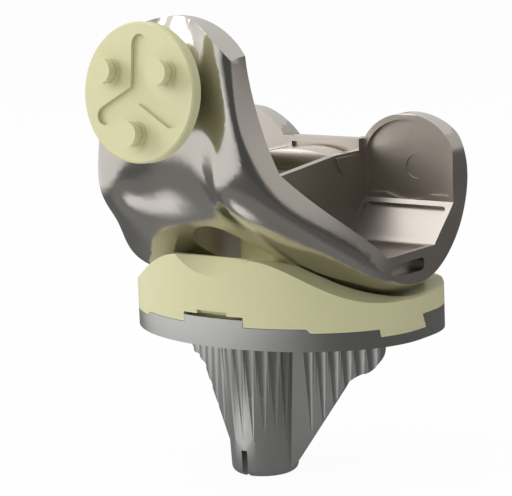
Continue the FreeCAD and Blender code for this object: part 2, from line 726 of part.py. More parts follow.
def wing(side):
    """One swept wing of the keel."""
    depth = size("keel_length") - size("stem_round")
    half = 0.5 * size("wing_thickness")
    lobe_start = Vector(size("wing_reach"), -half, -size("lobe_height"))
    lobe_end = Vector(size("lobe_low_reach"), -half, -size("lobe_low_depth"))
    waist = Vector(size("waist_reach"), -half, -size("waist_depth"))
    foot = Vector(size("slope_end_reach"), -half, -depth)
    lobe_middle = beside_middle(lobe_start, lobe_end, size("lobe_bulge"))
    waist_middle = beside_middle(lobe_end, waist, -size("waist_hollow"))
    top_inner, top_outer = Vector(0, -half, 0), Vector(size("wing_reach"), -half, 0)
    foot_inner = Vector(0, -half, -depth)
    wire = Part.Wire([
        Part.makeLine(top_inner, top_outer),
        Part.makeLine(top_outer, lobe_start),
        Part.Arc(lobe_start, lobe_middle, lobe_end).toShape(),
        Part.Arc(lobe_end, waist_middle, waist).toShape(),
        Part.makeLine(waist, foot),
        Part.makeLine(foot, foot_inner),
        Part.makeLine(foot_inner, top_inner),
    ])
    plate = Part.Face(wire).extrude(Vector(0, 2 * half, 0))
    plate.rotate(Vector(0, 0, 0), Vector(0, 0, 1), size("wing_sweep"))
    return plate if side > 0 else mirrored(plate)


FLUTE_TIP = 0.05


def tapering_cutter(top, low, radius):
    """Cone from a fine tip at low to its full radius at top."""
    direction = top - low
    return Part.makeCone(FLUTE_TIP, radius, direction.Length, low, direction)


def flute_radius():
    depth, half = size("flute_depth"), 0.5 * (size("flute_pitch") - size("flute_land"))
    return (half ** 2 + depth ** 2) / (2 * depth)


def flute(foot_x, foot_y, normal):
    """Tapering scallop that cuts a face at a point and fades out downwards."""
    depth, radius = size("flute_depth"), flute_radius()
    top = Vector(foot_x, foot_y, -size("flute_start")) + normal * (radius - depth)
    low = Vector(foot_x, foot_y, -size("flute_length")) + normal * FLUTE_TIP
    return tapering_cutter(top, low, radius)


def stem_radius(depth):
    share = depth / size("keel_length")
    return size("stem_top_radius") + (size("stem_end_radius") - size("stem_top_radius")) * share


def keel_flutes():
    """Flutes on the wing faces and round the stem."""
    pitch, half = size("flute_pitch"), 0.5 * size("wing_thickness")
    sweep = size("wing_sweep")
    cutters = []
    count = int((size("wing_reach") - size("first_flute")) / pitch) + 1
    for index in range(count):
        reach = size("first_flute") + index * pitch
        for face in (-1, 1):
            across = reach * cosine(sweep) - face * half * sine(sweep)
            back = reach * sine(sweep) + face * half * cosine(sweep)
            normal = Vector(-face * sine(sweep), face * cosine(sweep), 0)
            cutters.append(flute(across, back, normal))
            cutters.append(flute(-across, back, Vector(-normal.x, normal.y, 0)))
    turn = math.degrees(pitch / size("stem_top_radius"))
    for middle, spread in ((-90.0, 4), (90.0, 2)):
        for index in range(-spread, spread + 1):
            cutters.append(stem_flute(middle + index * turn))
    return cutters


def stem_flute(angle):
    """Scallop on the stem at an angle round it."""
    depth, radius = size("flute_depth"), flute_radius()
    normal = Vector(cosine(angle), sine(angle), 0)
    top = normal * (stem_radius(size("flute_start")) + radius - depth)
    top.z = -size("flute_start")
    low = normal * (stem_radius(size("flute_length")) + FLUTE_TIP)
    low.z = -size("flute_length")
    return tapering_cutter(top, low, radius)


def keel():
    length = size("keel_length")
    stem = Part.makeCone(size("stem_end_radius"), size("stem_top_radius"), length, Vector(0, 0, -length))
    end_edge = [edge for edge in stem.Edges if edge.BoundBox.ZMax < 0.1 - length]
    stem = stem.makeFillet(size("stem_round"), end_edge)
    body = stem.multiFuse([wing(-1), wing(1)])
    socket = Part.makeCylinder(size("socket_radius"), size("socket_depth"), Vector(0, 0, -length))
    half_key = 0.5 * size("key_width")
    key = box(-half_key, half_key, -size("stem_top_radius") - PAST, 0.0,
              -length - PAST, size("key_height") - length)
    return body.cut(keel_flutes() + [socket, key])


def make_tibial_tray():
    floor = size("plate_thickness")
    plate = outline_prism(0.0, 0.0, floor)
    rim = rim_ring(0.0, size("rim_width"), floor - BITE, size("rim_catch"))
    wall = rim.common(side_prism(rim_profile(0.0), REACH))
    catch = rim.common(catch_block(size("catch_half_width"), size("rim_catch")))
    return plate.multiFuse([wall, catch, keel()]).removeSplitter()


def origin_feature(body, role):
    for feature in body.Origin.OriginFeatures:
        if feature.Role == role:
            return feature
    raise ValueError(role)


def new_sketch(body, name, role):
    sketch = body.newObject("Sketcher::SketchObject", name)
    sketch.AttachmentSupport = [(origin_feature(body, role), "")]
    sketch.MapMode = "FlatFace"
    return sketch


def pin(sketch, edge, end, across=None, up=None):
    """Tie one end of an edge to the sheet, or to the sketch's axes where no size is given."""
    for kind, axis, expression in (("DistanceX", -2, across), ("DistanceY", -1, up)):
        if expression is None:
            sketch.addConstraint(Sketcher.Constraint("PointOnObject", edge, end, axis))
            continue
        sign, words = expression
        ends = (-1, 1, edge, end) if sign > 0 else (edge, end, -1, 1)
        start = sketch.getPoint(edge, end)
        value = abs(start.x if kind == "DistanceX" else start.y)
        index = sketch.addConstraint(Sketcher.Constraint(kind, *ends, value))
        sketch.setExpression(f"Constraints[{index}]", words)


def add_loop(sketch, edges):
    """Add edges that follow each other and join their ends."""
    first = [sketch.addGeometry(edge, False) for edge in edges]
    for place, edge in enumerate(first):
        following = first[(place + 1) % len(first)]
        sketch.addConstraint(Sketcher.Constraint("Coincident", edge, 2, following, 1))
    return first


def line(start, end):
    return Part.LineSegment(Vector(start[0], start[1], 0), Vector(end[0], end[1], 0))


def button_profile(body):
    """Half section of the button: flat back, bevel, rim and dome."""
    radius, rim, thickness = size("patella_radius"), size("patella_rim"), size("patella_thickness")
    bevel = size("patella_bevel")
    rise = thickness - rim
    dome = (radius ** 2 + rise ** 2) / (2 * rise)
    centre = thickness - dome
    circle = Part.Circle(Vector(0, centre, 0), Vector(0, 0, 1), dome)
    arc = Part.ArcOfCircle(circle, math.atan2(rim - centre, radius), 0.5 * math.pi)
    sketch = new_sketch(body, "ButtonProfile", "XZ_Plane")
    back, slope, side, top, axis = add_loop(sketch, [
        line((0, 0), (radius - bevel, 0)),
        line((radius - bevel, 0), (radius, bevel)),
        line((radius, bevel), (radius, rim)),
        arc,
        line((0, thickness), (0, 0)),
    ])
    sketch.addConstraint(Sketcher.Constraint("Coincident", back, 1, -1, 1))
    pin(sketch, back, 2, across=(1, "Sizes.patella_radius - Sizes.patella_bevel"))
    pin(sketch, slope, 2, (1, "Sizes.patella_radius"), (1, "Sizes.patella_bevel"))
    pin(sketch, side, 2, (1, "Sizes.patella_radius"), (1, "Sizes.patella_rim"))
    pin(sketch, axis, 1, up=(1, "Sizes.patella_thickness"))
    sketch.addConstraint(Sketcher.Constraint("PointOnObject", top, 3, -2))
    return sketch


def peg_profile(body):
    """Half section of one peg, beside its own axis."""
    centre, radius, length = size("peg_circle"), size("peg_radius"), size("peg_length")
    neck, start, end = size("peg_neck"), size("peg_neck_start"), size("peg_neck_end")
    root = size("peg_root")
    sketch = new_sketch(body, "PegProfile", "YZ_Plane")
    corners = [
        (centre, root, "Sizes.peg_circle", None),
        (centre + radius, root, "Sizes.peg_circle + Sizes.peg_radius", None),
        (centre + radius, -start, "Sizes.peg_circle + Sizes.peg_radius", "Sizes.peg_neck_start"),
        (centre + radius - neck, -start, "Sizes.peg_circle + Sizes.peg_radius - Sizes.peg_neck",
         "Sizes.peg_neck_start"),
        (centre + radius - neck, -end, "Sizes.peg_circle + Sizes.peg_radius - Sizes.peg_neck",
         "Sizes.peg_neck_end"),
        (centre + radius, -end, "Sizes.peg_circle + Sizes.peg_radius", "Sizes.peg_neck_end"),
        (centre + radius, -length, "Sizes.peg_circle + Sizes.peg_radius", "Sizes.peg_length"),
        (centre, -length, "Sizes.peg_circle", "Sizes.peg_length"),
    ]
    places = [corner[:2] for corner in corners]
    sides = add_loop(sketch, [line(places[i], places[(i + 1) % 8]) for i in range(8)])
    for side, (_, _, across, depth) in zip(sides, corners):
        up = (1, "Sizes.peg_root") if depth is None else (-1, depth)
        pin(sketch, side, 1, (1, across), up)
    return sketch, sides[-1]


def arm_outline(body):
    """Outline of one arm of the recess, from the middle to its round end."""
    half, reach = 0.5 * size("arm_width"), size("arm_length") - 0.5 * size("arm_width")
    end = Part.ArcOfCircle(Part.Circle(Vector(0, -reach, 0), Vector(0, 0, 1), half), math.pi, 2 * math.pi)
    sketch = new_sketch(body, "ArmOutline", "XY_Plane")
    left, tip, right, start = add_loop(sketch, [
        line((-half, 0), (-half, -reach)),
        end,
        line((half, -reach), (half, 0)),
        line((half, 0), (-half, 0)),
    ])
    pin(sketch, left, 1, across=(-1, "Sizes.arm_width / 2"))
    pin(sketch, left, 2, (-1, "Sizes.arm_width / 2"), (-1, "Sizes.arm_length - Sizes.arm_width / 2"))
    pin(sketch, right, 1, (1, "Sizes.arm_width / 2"), (-1, "Sizes.arm_length - Sizes.arm_width / 2"))
    pin(sketch, right, 2, across=(1, "Sizes.arm_width / 2"))
    centre = sketch.addConstraint(Sketcher.Constraint("DistanceY", tip, 3, -1, 1, reach))
    sketch.setExpression(f"Constraints[{centre}]", "Sizes.arm_length - Sizes.arm_width / 2")
    return sketch


def pattern_of_three(body, name, feature):
    pattern = body.newObject("PartDesign::PolarPattern", name)
    pattern.Originals = [feature]
    pattern.Axis = (origin_feature(body, "Z_Axis"), [""])
    pattern.Angle = 360
    pattern.Occurrences = 3
    body.Tip = pattern
    doc.recompute()
    return pattern


def make_patella_button():
    body = doc.addObject("PartDesign::Body", "patella_button")
    button = body.newObject("PartDesign::Revolution", "Button")
    button.Profile = button_profile(body)
    button.ReferenceAxis = (button.Profile[0], ["V_Axis"])
    button.Angle = 360
    doc.recompute()
    sketch, own_axis = peg_profile(body)
    sketch.setConstruction(own_axis, False)
    peg = body.newObject("PartDesign::Revolution", "Peg")
    peg.Profile = sketch
    peg.ReferenceAxis = (sketch, [f"Edge{own_axis + 1}"])
    peg.Angle = 360
    doc.recompute()
    pattern_of_three(body, "Pegs", peg)
    arm = body.newObject("PartDesign::Pocket", "Arm")
    arm.Profile = arm_outline(body)
    arm.setExpression("Length", "Sizes.arm_depth")
    arm.Reversed = True
    doc.recompute()
    pattern_of_three(body, "Recess", arm)
    body.Placement = Placement(Vector(0, 0, 0), Rotation(Vector(-1, 0, 0), 90.0))
    lift = "(Sizes.patella_gap + Sizes.patella_thickness)"
    tilt = "Sizes.groove_tilt * 1 deg"
    body.setExpression("Placement.Rotation.Angle", f"90 deg + {tilt}")
    body.setExpression("Placement.Base.y", f"-(Sizes.groove_rest_y + {lift} * cos({tilt}))")
    body.setExpression("Placement.Base.z", f"Sizes.groove_rest_z + {lift} * sin({tilt})")
    doc.recompute()
    return body


def add_solid(name, shape):
    piece = doc.addObject("Part::Feature", name)
    piece.Label = name
    piece.Shape = shape
    piece.Placement = Placement()
    return piece


def check_and_export(pieces):
    doc.recompute()
    for item in doc.Objects:
        if "Invalid" in item.State or "Error" in item.State:
            raise RuntimeError(f"{item.Name} failed: {item.State}")
    for piece in pieces:
        shape = piece.Shape
        if shape.isNull() or not shape.isValid() or len(shape.Solids) != 1:
            raise RuntimeError(f"{piece.Label} has no single valid solid")
    os.makedirs("parts", exist_ok=True)
    for piece in pieces:
        piece.Shape.exportStep(f"parts/{piece.Label}.step")


check_and_export([
    add_solid("femoral_component", make_femoral_component()),
    add_solid("tibial_insert", make_tibial_insert()),
    add_solid("tibial_tray", make_tibial_tray()),
    make_patella_button(),
])
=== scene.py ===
import json
import math

import bmesh
import bpy
from mathutils import Matrix, Vector


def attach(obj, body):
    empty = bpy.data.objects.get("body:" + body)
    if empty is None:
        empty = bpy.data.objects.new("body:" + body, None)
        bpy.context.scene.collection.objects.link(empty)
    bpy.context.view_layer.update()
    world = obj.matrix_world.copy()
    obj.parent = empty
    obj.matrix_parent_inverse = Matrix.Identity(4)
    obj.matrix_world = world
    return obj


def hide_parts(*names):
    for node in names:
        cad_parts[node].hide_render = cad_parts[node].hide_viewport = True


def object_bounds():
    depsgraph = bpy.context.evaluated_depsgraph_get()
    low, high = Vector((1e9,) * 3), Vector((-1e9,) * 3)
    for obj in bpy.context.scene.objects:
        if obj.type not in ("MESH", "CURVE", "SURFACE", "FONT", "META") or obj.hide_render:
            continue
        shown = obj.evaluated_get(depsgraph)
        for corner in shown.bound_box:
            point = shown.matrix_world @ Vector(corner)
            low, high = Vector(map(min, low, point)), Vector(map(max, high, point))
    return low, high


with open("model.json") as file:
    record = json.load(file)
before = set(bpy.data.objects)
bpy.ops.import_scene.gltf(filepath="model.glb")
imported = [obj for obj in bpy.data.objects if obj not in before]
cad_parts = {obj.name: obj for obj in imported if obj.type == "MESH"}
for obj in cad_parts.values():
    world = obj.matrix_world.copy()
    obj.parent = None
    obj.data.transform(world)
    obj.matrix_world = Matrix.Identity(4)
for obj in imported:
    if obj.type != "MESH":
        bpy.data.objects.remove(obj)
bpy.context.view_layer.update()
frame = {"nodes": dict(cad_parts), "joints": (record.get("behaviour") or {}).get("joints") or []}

MM = 0.001

# The photograph's camera, solved from the tray's rim, the bone cuts and the keel
IMAGE_WIDTH = 512
FOCAL_PIXELS = 2190.9
SENSOR_MM = 36.0
CAMERA_PLACE = Vector((285.4, -378.1, 102.1)) * MM
CAMERA_TURN = math.radians(37.08)
CAMERA_DIP = math.radians(9.98)
CAMERA_ROLL = math.radians(-2.22)

# Dressing of the CAD meshes
MERGE_DISTANCE = 1e-6
FLAT_DEGREES = 0.05
SHARP_DEGREES = 25.0
BEVEL_DEGREES = 35.0
LARGE_FACES_FIRST = 100
FEMORAL_EDGE = 0.15 * MM
# Polished where a face looks away from the knee axis and not to the side
KNEE_AXIS = Vector(next(joint["pos_m"] for joint in frame["joints"]
                        if joint["name"] == "knee_flexion"))
OUTWARD_SHARE = 0.25
SIDE_EDGE_SHARE = 0.9

# Shared metal and plastic finish
CLOUD_SCALE = 60.0
BUMP_DISTANCE = 0.02 * MM

# Keel: the lands between its flutes, in millimetres
WING_SWEEP = math.radians(22.5)
WING_HALF_THICKNESS = 3.4
FLUTE_PITCH = 2.85
FIRST_WING_LAND = 13.03
WING_LANDS = 5
WING_LAND_LENGTH = 14.0
WING_LAND_SHORTENING = 0.19
STEM_RADIUS_TOP = 8.7
STEM_RADIUS_FOOT = 8.03
STEM_LAND_STEP = math.radians(18.56)
STEM_LAND_LENGTH = 13.5
STEM_LANDS_IN_FRONT = 8
STEM_LANDS_BEHIND = 4
LAND_TOP = 2.4
LAND_ROUNDING = 0.28
LAND_FOOT_SHARE = 0.1
LAND_POINTS = 14
LAND_SIDES = 12

# Room as mirrors see it: spans of a direction's part to the left, up and back, and tones
CAMERA_LEFT = Vector((-math.cos(CAMERA_TURN), -math.sin(CAMERA_TURN), 0.0))
ROOM_LEFT_SPAN = (0.0, 0.72)
ROOM_RIGHT_TONE = 0.05
ROOM_LEFT_TONE = 0.98
ROOM_RISE_SPAN = (-0.04, 0.14)
ROOM_BEHIND_SPAN = (0.35, 0.70)
ROOM_BEHIND_TONE = 0.7
ROOM_LEVEL = 0.5
ROOM_MIRROR_SHARE = 0.05

# Floor as mirrors see it: spans in metres from the bright patch and to the left, and tones
FLOOR_HALF_WIDTH = 1.5
FLOOR_CAMERA_SHARE = 0.96
FLOOR_MIRROR_SHARE = 0.9
PATCH_PLACE = (-0.022, -0.038)
PATCH_SPAN = (0.010, 0.030)
FLOOR_TONE = 0.17
FLOOR_FADE_SPAN = (0.060, 0.110)
FLOOR_FADE_SHARE = 0.3
FLOOR_LEFT_SPAN = (0.10, 0.16)
FLOOR_LEFT_TONE = 0.9

LIGHT_TARGET = Vector((0.0, 0.0, 0.03))


def principled(name):
    """A new material with its main shader and output."""
    material = bpy.data.materials.new(name)
    material.use_nodes = True
    tree = material.node_tree
    shader = next(node for node in tree.nodes if node.type == "BSDF_PRINCIPLED")
    return material, tree, shader


def add_node(tree, kind, **settings):
    """A new node with its settings."""
    node = tree.nodes.new(kind)
    for name, value in settings.items():
        setattr(node, name, value)
    return node


def group_socket(tree, name, direction, kind, value=None):
    """A named input or output of a node group, with its default value."""
    socket = tree.interface.new_socket(name=name, in_out=direction, socket_type=kind)
    if value is not None:
        socket.default_value = value


def satin_group():
    """Finish of metal and plastic: clouded tone, uneven roughness and a shallow grain."""
    tree = bpy.data.node_groups.new("satin_finish", "ShaderNodeTree")
    group_socket(tree, "Tone", "INPUT", "NodeSocketColor", (0.5, 0.5, 0.5, 1.0))
    for name, value in (("Clouding", 0.1), ("Gloss", 0.3), ("Gloss Spread", 0.05),
                        ("Grain Size", 2500.0), ("Grain Height", 0.1)):
        group_socket(tree, name, "INPUT", "NodeSocketFloat", value)
    group_socket(tree, "Tone", "OUTPUT", "NodeSocketColor")
    group_socket(tree, "Roughness", "OUTPUT", "NodeSocketFloat")
    group_socket(tree, "Height", "OUTPUT", "NodeSocketFloat")
    source = add_node(tree, "NodeGroupInput")
    result = add_node(tree, "NodeGroupOutput")
    place = add_node(tree, "ShaderNodeTexCoord")
    clouds = add_node(tree, "ShaderNodeTexNoise")
    clouds.inputs["Scale"].default_value = CLOUD_SCALE
    clouds.inputs["Detail"].default_value = 3.0
    tree.links.new(place.outputs["Object"], clouds.inputs["Vector"])
    grain = add_node(tree, "ShaderNodeTexNoise")
    grain.inputs["Detail"].default_value = 2.0
    tree.links.new(place.outputs["Object"], grain.inputs["Vector"])
    tree.links.new(source.outputs["Grain Size"], grain.inputs["Scale"])

    centred = add_node(tree, "ShaderNodeMath", operation="SUBTRACT")
    centred.inputs[1].default_value = 0.5
    tree.links.new(clouds.outputs["Fac"], centred.inputs[0])

    shade = add_node(tree, "ShaderNodeMath", operation="MULTIPLY_ADD")
    shade.inputs[2].default_value = 1.0
    tree.links.new(centred.outputs[0], shade.inputs[0])
    tree.links.new(source.outputs["Clouding"], shade.inputs[1])
    tone = add_node(tree, "ShaderNodeVectorMath", operation="SCALE")
    tree.links.new(source.outputs["Tone"], tone.inputs[0])
    tree.links.new(shade.outputs[0], tone.inputs["Scale"])
    tree.links.new(tone.outputs[0], result.inputs["Tone"])

    rough = add_node(tree, "ShaderNodeMath", operation="MULTIPLY_ADD", use_clamp=True)
    tree.links.new(centred.outputs[0], rough.inputs[0])
    tree.links.new(source.outputs["Gloss Spread"], rough.inputs[1])
    tree.links.new(source.outputs["Gloss"], rough.inputs[2])
    tree.links.new(rough.outputs[0], result.inputs["Roughness"])

    height = add_node(tree, "ShaderNodeMath", operation="MULTIPLY")
    tree.links.new(grain.outputs["Fac"], height.inputs[0])
    tree.links.new(source.outputs["Grain Height"], height.inputs[1])
    tree.links.new(height.outputs[0], result.inputs["Height"])
    return tree


SATIN = satin_group()


def finished(name, tone, metallic, **finish):
    """A material on the shared finish group, whose inputs are named in finish."""
    material, tree, shader = principled(name)
    group = add_node(tree, "ShaderNodeGroup")
    group.node_tree = SATIN
    group.inputs["Tone"].default_value = (*tone, 1.0)
    for key, value in finish.items():
        group.inputs[key.replace("_", " ").title()].default_value = value
    bump = add_node(tree, "ShaderNodeBump")
    bump.inputs["Distance"].default_value = BUMP_DISTANCE
    tree.links.new(group.outputs["Height"], bump.inputs["Height"])
    tree.links.new(group.outputs["Tone"], shader.inputs["Base Color"])
    tree.links.new(group.outputs["Roughness"], shader.inputs["Roughness"])
    tree.links.new(bump.outputs["Normal"], shader.inputs["Normal"])
    shader.inputs["Metallic"].default_value = metallic
    return material


polished_alloy = finished("polished_alloy", (0.60, 0.57, 0.525), 1.0, gloss=0.17,
                          gloss_spread=0.05, clouding=0.08, grain_size=3000.0, grain_height=0.12)
blasted_alloy = finished("blasted_alloy", (0.52, 0.475, 0.43), 1.0, gloss=0.38,
                         gloss_spread=0.08, clouding=0.12, grain_size=5000.0, grain_height=0.8)
satin_tray = finished("satin_tray", (0.60, 0.595, 0.58), 1.0, gloss=0.28,
                      gloss_spread=0.06, clouding=0.10, grain_size=4000.0, grain_height=0.5)
bearing_plastic = finished("bearing_plastic", (0.62, 0.60, 0.355), 0.0, gloss=0.42,
                           gloss_spread=0.06, clouding=0.05, grain_size=2500.0, grain_height=0.3)
plastic_shader = bearing_plastic.node_tree.nodes["Principled BSDF"]
plastic_shader.inputs["Subsurface Weight"].default_value = 0.08
plastic_shader.inputs["Subsurface Scale"].default_value = 1.0 * MM


def dressed_copy(node, name, materials, slot_rule=None, edge_width=0.0):
    """Merged and smoothly shaded copy of a CAD node, with broken edges where a width is given."""
    mesh = frame["nodes"][node].data.copy()
    mesh.name = name
    mesh.materials.clear()
    for material in materials:
        mesh.materials.append(material)
    shape = bmesh.new()
    shape.from_mesh(mesh)
    bmesh.ops.remove_doubles(shape, verts=shape.verts, dist=MERGE_DISTANCE)
    bmesh.ops.dissolve_degenerate(shape, edges=shape.edges, dist=MERGE_DISTANCE)
    if edge_width:
        bmesh.ops.dissolve_limit(shape, angle_limit=math.radians(FLAT_DEGREES),
                                 verts=shape.verts, edges=shape.edges)
    for face in shape.faces:
        face.smooth = True
        face.material_index = slot_rule(face) if slot_rule else 0
    limit = math.radians(SHARP_DEGREES)
    for edge in shape.edges:
        if len(edge.link_faces) == 2:
            edge.smooth = edge.calc_face_angle(0.0) < limit
    shape.to_mesh(mesh)
    shape.free()
    piece = bpy.data.objects.new(name, mesh)
    bpy.context.scene.collection.objects.link(piece)
    if edge_width:
        bevel = piece.modifiers.new("broken_edges", "BEVEL")
        bevel.width = edge_width
        bevel.segments = 2
        bevel.limit_method = "ANGLE"
        bevel.angle_limit = math.radians(BEVEL_DEGREES)
        bevel.harden_normals = False
    evened = piece.modifiers.new("even_shading", "WEIGHTED_NORMAL")
    evened.keep_sharp = True
    evened.weight = LARGE_FACES_FIRST
    return piece


def femoral_finish(face):
    """0 on the polished outside, 1 on the bone side, the box and the side edges."""
    middle = face.calc_center_median() - KNEE_AXIS
    outward = Vector((0.0, middle.y, middle.z)).normalized()
    polished = face.normal.dot(outward) > OUTWARD_SHARE and abs(face.normal.x) < SIDE_EDGE_SHARE
    return 0 if polished else 1


def input_link(tree, source, name, target):
    """Link the named output of a group's input node."""
    tree.links.new(source.outputs[name], target)


def rib_row_tree():
    """A row of tapering round-backed ribs, each turned, moved and shortened against the last."""
    tree = bpy.data.node_groups.new("rib_row", "GeometryNodeTree")
    group_socket(tree, "Count", "INPUT", "NodeSocketInt", 5)
    for name in ("First Place", "Step", "Rib Top", "Rib Foot"):
        group_socket(tree, name, "INPUT", "NodeSocketVector")
    for name in ("First Turn", "Turn Step", "Shortening"):
        group_socket(tree, name, "INPUT", "NodeSocketFloat", 0.0)
    group_socket(tree, "Rib Radius", "INPUT", "NodeSocketFloat", 0.0003)
    group_socket(tree, "Finish", "INPUT", "NodeSocketMaterial")
    group_socket(tree, "Ribs", "OUTPUT", "NodeSocketGeometry")
    source = add_node(tree, "NodeGroupInput")
    result = add_node(tree, "NodeGroupOutput")

    back = add_node(tree, "GeometryNodeCurvePrimitiveLine")
    input_link(tree, source, "Rib Top", back.inputs["Start"])
    input_link(tree, source, "Rib Foot", back.inputs["End"])
    points = add_node(tree, "GeometryNodeResampleCurve")
    points.inputs["Count"].default_value = LAND_POINTS
    tree.links.new(back.outputs[0], points.inputs["Curve"])
    along = add_node(tree, "GeometryNodeSplineParameter")
    taper = add_node(tree, "ShaderNodeMapRange")
    taper.inputs["To Min"].default_value = 1.0
    taper.inputs["To Max"].default_value = LAND_FOOT_SHARE
    tree.links.new(along.outputs["Factor"], taper.inputs["Value"])
    section = add_node(tree, "GeometryNodeCurvePrimitiveCircle")
    section.inputs["Resolution"].default_value = LAND_SIDES
    input_link(tree, source, "Rib Radius", section.inputs["Radius"])
    rib = add_node(tree, "GeometryNodeCurveToMesh")
    rib.inputs["Fill Caps"].default_value = True
    tree.links.new(points.outputs[0], rib.inputs["Curve"])
    tree.links.new(section.outputs[0], rib.inputs["Profile Curve"])
    tree.links.new(taper.outputs["Result"], rib.inputs["Scale"])

    row = add_node(tree, "GeometryNodeMeshLine", mode="OFFSET")
    input_link(tree, source, "Count", row.inputs["Count"])
    input_link(tree, source, "First Place", row.inputs["Start Location"])
    input_link(tree, source, "Step", row.inputs["Offset"])
    index = add_node(tree, "GeometryNodeInputIndex")
    turn = add_node(tree, "ShaderNodeMath", operation="MULTIPLY_ADD")
    tree.links.new(index.outputs[0], turn.inputs[0])
    input_link(tree, source, "Turn Step", turn.inputs[1])
    input_link(tree, source, "First Turn", turn.inputs[2])
    turns = add_node(tree, "ShaderNodeCombineXYZ")
    tree.links.new(turn.outputs[0], turns.inputs["Z"])
    short = add_node(tree, "ShaderNodeMath", operation="MULTIPLY")
    tree.links.new(index.outputs[0], short.inputs[0])
    input_link(tree, source, "Shortening", short.inputs[1])
    length = add_node(tree, "ShaderNodeMath", operation="SUBTRACT")
    length.inputs[0].default_value = 1.0
    tree.links.new(short.outputs[0], length.inputs[1])
    scale = add_node(tree, "ShaderNodeCombineXYZ")
    scale.inputs["X"].default_value = 1.0
    scale.inputs["Y"].default_value = 1.0
    tree.links.new(length.outputs[0], scale.inputs["Z"])
    placed = add_node(tree, "GeometryNodeInstanceOnPoints")
    tree.links.new(row.outputs[0], placed.inputs["Points"])
    tree.links.new(rib.outputs[0], placed.inputs["Instance"])
    tree.links.new(turns.outputs[0], placed.inputs["Rotation"])
    tree.links.new(scale.outputs[0], placed.inputs["Scale"])

    smooth = add_node(tree, "GeometryNodeSetShadeSmooth")
    real = add_node(tree, "GeometryNodeRealizeInstances")
    finish = add_node(tree, "GeometryNodeSetMaterial")
    tree.links.new(placed.outputs[0], real.inputs[0])
    tree.links.new(real.outputs[0], smooth.inputs[0])
    tree.links.new(smooth.outputs[0], finish.inputs["Geometry"])
    input_link(tree, source, "Finish", finish.inputs["Material"])
    tree.links.new(finish.outputs[0], result.inputs["Ribs"])
    return tree


RIB_ROW = rib_row_tree()


def rib_row(values):
    """Mesh of one row of ribs, with the tree's inputs set by name."""
    holder_mesh = bpy.data.meshes.new("rib_row")
    holder = bpy.data.objects.new("rib_row", holder_mesh)
    bpy.context.scene.collection.objects.link(holder)
    modifier = holder.modifiers.new("ribs", "NODES")
    modifier.node_group = RIB_ROW
    for item in RIB_ROW.interface.items_tree:
        if item.in_out == "INPUT" and item.name in values:
            modifier[item.identifier] = values[item.name]
    holder.update_tag()
    bpy.context.view_layer.update()
    graph = bpy.context.evaluated_depsgraph_get()
    mesh = bpy.data.meshes.new_from_object(holder.evaluated_get(graph))
    holder.modifiers.remove(modifier)
    bpy.data.objects.remove(holder)
    return mesh


def wing_rows():
    """Inputs for the ribs on both faces of both wings."""
    along = Vector((math.cos(WING_SWEEP), math.sin(WING_SWEEP), 0.0))
    away = Vector((-math.sin(WING_SWEEP), math.cos(WING_SWEEP), 0.0))
    rows = []
    for side in (1.0, -1.0):
        for face in (1.0, -1.0):
            first = along * FIRST_WING_LAND + away * (face * WING_HALF_THICKNESS)
            first.x *= side
            step = along * FLUTE_PITCH
            step.x *= side
            first.z = -LAND_TOP
            rows.append({
                "Count": WING_LANDS,
                "First Place": tuple(first * MM),
                "Step": tuple(step * MM),
                "Rib Top": (0.0, 0.0, 0.0),
                "Rib Foot": (0.0, 0.0, -WING_LAND_LENGTH * MM),
                "Rib Radius": LAND_ROUNDING * MM,
                "Shortening": WING_LAND_SHORTENING,
                "Finish": satin_tray,
            })
    return rows


def stem_rows():
    """Inputs for the ribs round the stem, before and behind the wings."""
    rows = []
    quarter = 0.5 * math.pi
    for middle, count in ((-quarter, STEM_LANDS_IN_FRONT), (quarter, STEM_LANDS_BEHIND)):
        rows.append({
            "Count": count,
            "Turn Step": STEM_LAND_STEP,
            "First Turn": middle - 0.5 * (count - 1) * STEM_LAND_STEP,
            "Rib Top": (STEM_RADIUS_TOP * MM, 0.0, -LAND_TOP * MM),
            "Rib Foot": (STEM_RADIUS_FOOT * MM, 0.0, -(LAND_TOP + STEM_LAND_LENGTH) * MM),
            "Rib Radius": LAND_ROUNDING * MM,
            "Finish": satin_tray,
        })
    return rows


def keel_ribs():
    """All the ribs of the keel as one plain mesh."""
    shape = bmesh.new()
    for values in wing_rows() + stem_rows():
        shape.from_mesh(rib_row(values))
    mesh = bpy.data.meshes.new("keel_ribs")
    bmesh.ops.recalc_face_normals(shape, faces=shape.faces)
    shape.to_mesh(mesh)
    shape.free()
    mesh.materials.append(satin_tray)
    piece = bpy.data.objects.new("keel_ribs", mesh)
    bpy.context.scene.collection.objects.link(piece)
    return piece


def add_camera():
    """Camera at the photograph's viewing angle."""
    forward = Vector((
        -math.sin(CAMERA_TURN) * math.cos(CAMERA_DIP),
        math.cos(CAMERA_TURN) * math.cos(CAMERA_DIP),
        -math.sin(CAMERA_DIP),
    ))
    level = Vector((math.cos(CAMERA_TURN), math.sin(CAMERA_TURN), 0.0))
    upright = level.cross(forward)
    right = level * math.cos(CAMERA_ROLL) + upright * math.sin(CAMERA_ROLL)
    up = upright * math.cos(CAMERA_ROLL) - level * math.sin(CAMERA_ROLL)
    data = bpy.data.cameras.new("camera")
    data.sensor_fit = "HORIZONTAL"
    data.sensor_width = SENSOR_MM
    data.lens = FOCAL_PIXELS / IMAGE_WIDTH * SENSOR_MM
    data.clip_start = 0.01
    camera = bpy.data.objects.new("camera", data)
    turn = Matrix((right, up, -forward)).transposed()
    camera.matrix_world = Matrix.Translation(CAMERA_PLACE) @ turn.to_4x4()
    bpy.context.scene.collection.objects.link(camera)
    bpy.context.scene.camera = camera


